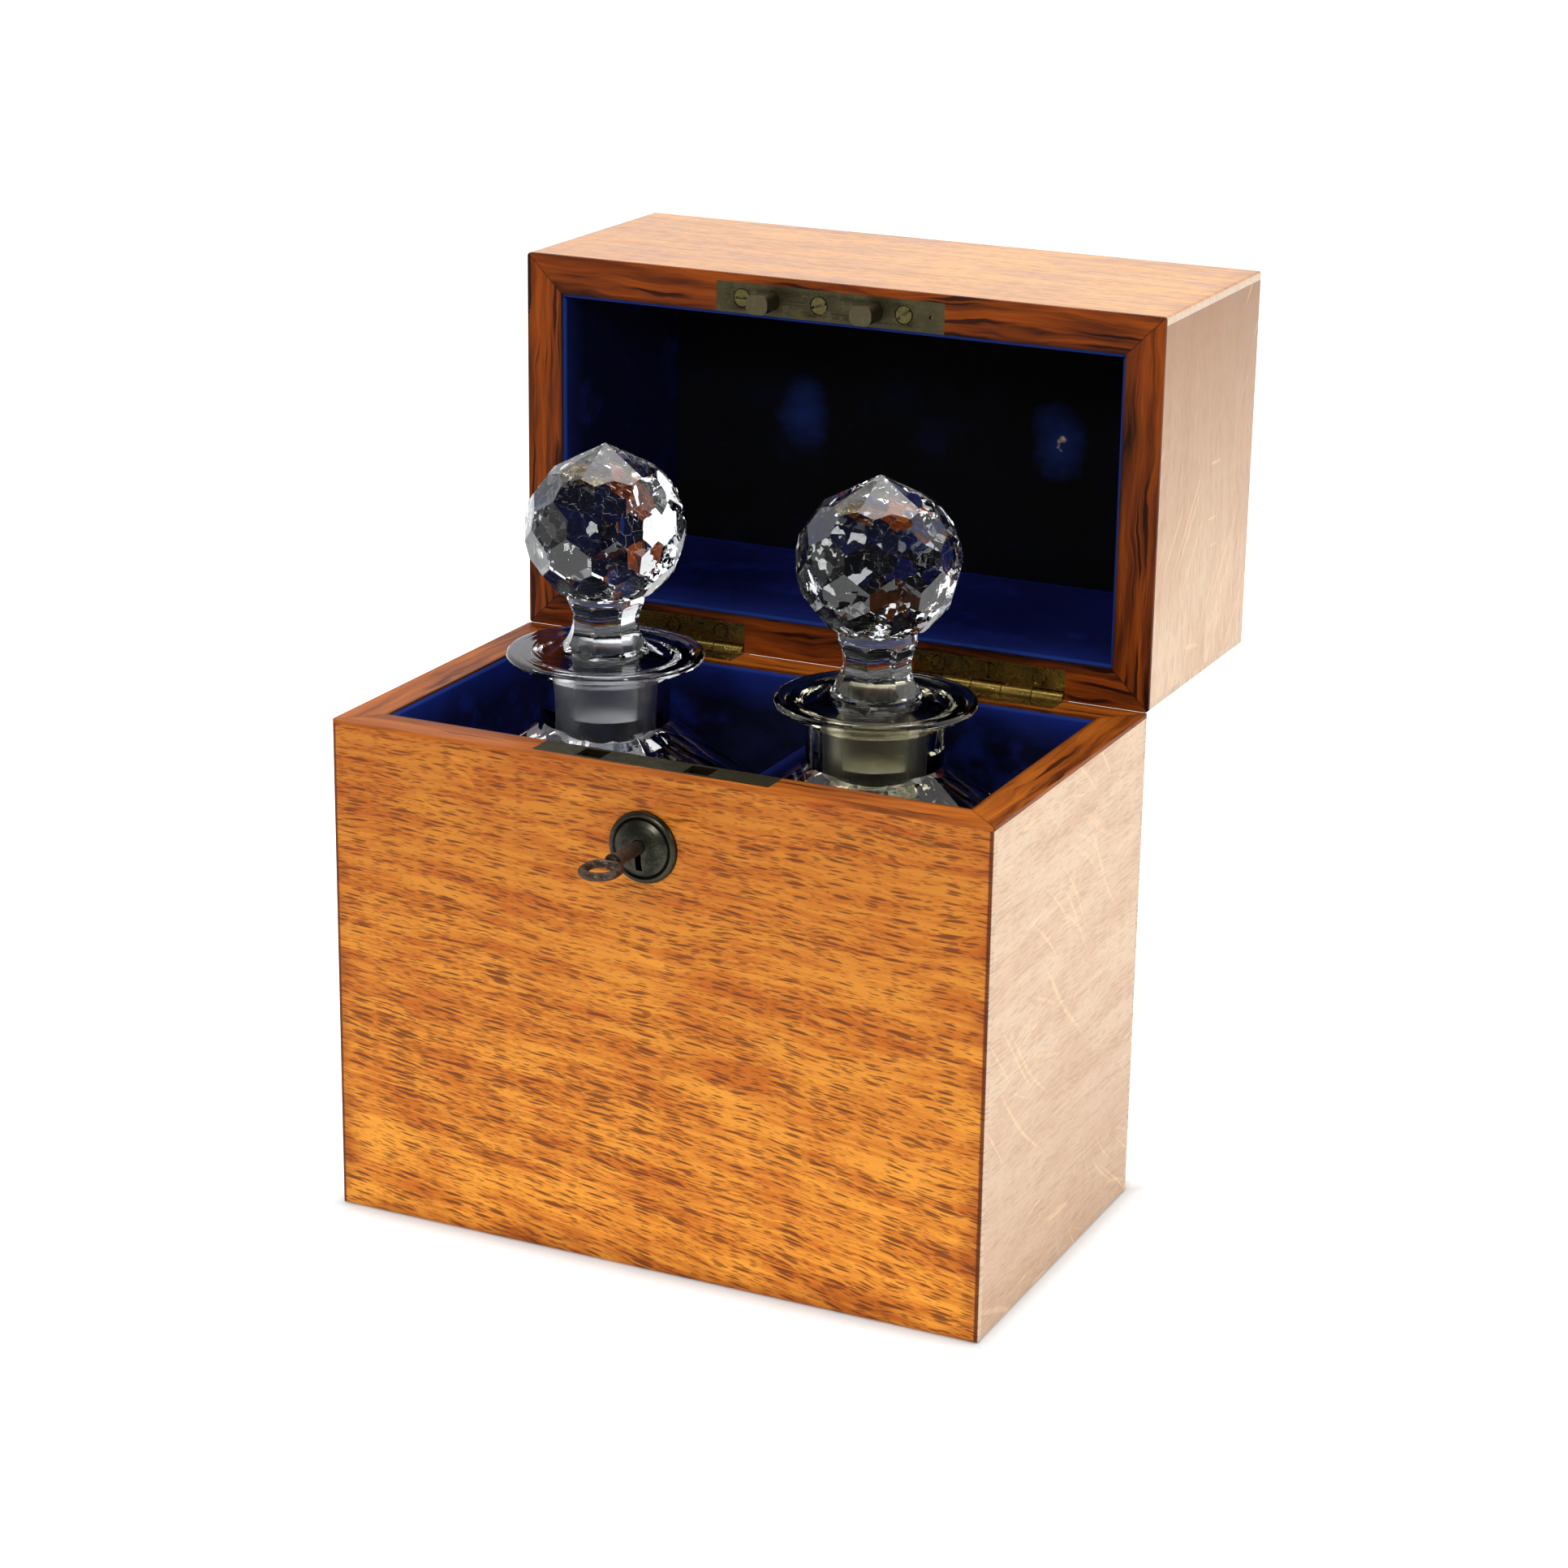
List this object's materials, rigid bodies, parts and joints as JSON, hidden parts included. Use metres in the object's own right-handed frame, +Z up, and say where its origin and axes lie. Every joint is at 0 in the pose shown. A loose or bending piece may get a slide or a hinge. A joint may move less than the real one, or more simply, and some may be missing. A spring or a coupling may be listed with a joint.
{
  "type": "decanter box",
  "caption": "Rectangular oak box on a flat base, with a deep hinged lid, velvet lining, a link lock with its key, and square cut-glass decanters with faceted globe stoppers.",
  "frame": {"origin": "centre of the box's underside", "axes": "X along the width, -Y out of the front face with the key, Z up; the lid stands open behind"},
  "size_m": [0.212, 0.2391, 0.2761],
  "materials": {
    "oak": "french polished quarter-sawn oak, golden brown",
    "rim_band": "polished oak veneer band, reddish brown",
    "velvet": "royal blue silk velvet on card",
    "brass": "dulled lacquered brass",
    "bronze": "dark bronzed brass",
    "steel": "aged steel, brown with rust",
    "cut_glass": "polished cut lead crystal"
  },
  "bodies": {
    "base": {"base_front": "oak", "base_back": "oak", "base_left_side": "oak", "base_right_side": "oak", "base_bottom": "oak", "base_rim_band": "rim_band", "base_front_lining": "velvet", "base_back_lining": "velvet", "base_left_lining": "velvet", "base_right_lining": "velvet", "base_floor_lining": "velvet", "partition": "velvet", "keyhole_boss": "bronze", "lock_plate": "brass", "lock_case": "brass", "lock_cap": "brass", "lock_drill_pin": "steel", "lock_screws": "brass", "left_hinge_base_leaf": "brass", "right_hinge_base_leaf": "brass", "left_hinge_pin": "brass", "right_hinge_pin": "brass", "hinge_base_screws": "brass"},
    "lid": {"lid_front": "oak", "lid_back": "oak", "lid_left_side": "oak", "lid_right_side": "oak", "lid_top": "oak", "lid_rim_band": "rim_band", "lid_front_lining": "velvet", "lid_back_lining": "velvet", "lid_left_lining": "velvet", "lid_right_lining": "velvet", "lid_top_lining": "velvet", "left_hinge_lid_leaf": "brass", "right_hinge_lid_leaf": "brass", "hinge_lid_screws": "brass", "link_plate": "brass", "links": "bronze", "link_plate_screws": "brass"},
    "bolt": {"lock_bolt": "brass", "bolt_spring": "steel"},
    "key": {"key": "steel"},
    "left_decanter": {"left_decanter": "cut_glass"},
    "left_stopper": {"left_stopper": "cut_glass"},
    "right_decanter": {"right_decanter": "cut_glass"},
    "right_stopper": {"right_stopper": "cut_glass"}
  },
  "joints": [
    {"name": "lid_hinge", "type": "hinge", "parent": "base", "child": "lid", "pos_m": [0, 0.06, 0.15605], "axis": [-1, 0, 0], "range_deg": [-90, 0]},
    {"name": "key_turn", "type": "hinge", "parent": "base", "child": "key", "pos_m": [-0.0018, -0.06, 0.134], "axis": [0, -1, 0], "range_deg": [-181, 91]},
    {"name": "bolt_slide", "type": "slide", "parent": "base", "child": "bolt", "axis": [-1, 0, 0], "range_m": [-0.0048, 0.0024]},
    {"name": "left_decanter_lift", "type": "slide", "parent": "base", "child": "left_decanter", "axis": [0, 0, 1], "range_m": [0, 0.16]},
    {"name": "left_stopper_lift", "type": "slide", "parent": "left_decanter", "child": "left_stopper", "axis": [0, 0, 1], "range_m": [0, 0.04]},
    {"name": "right_decanter_lift", "type": "slide", "parent": "base", "child": "right_decanter", "axis": [0, 0, 1], "range_m": [0, 0.16]},
    {"name": "right_stopper_lift", "type": "slide", "parent": "right_decanter", "child": "right_stopper", "axis": [0, 0, 1], "range_m": [0, 0.04]}
  ],
  "couplings": [
    {"joint": "key_turn", "follows": "bolt_slide", "rad_per_m": 654.5}
  ]
}
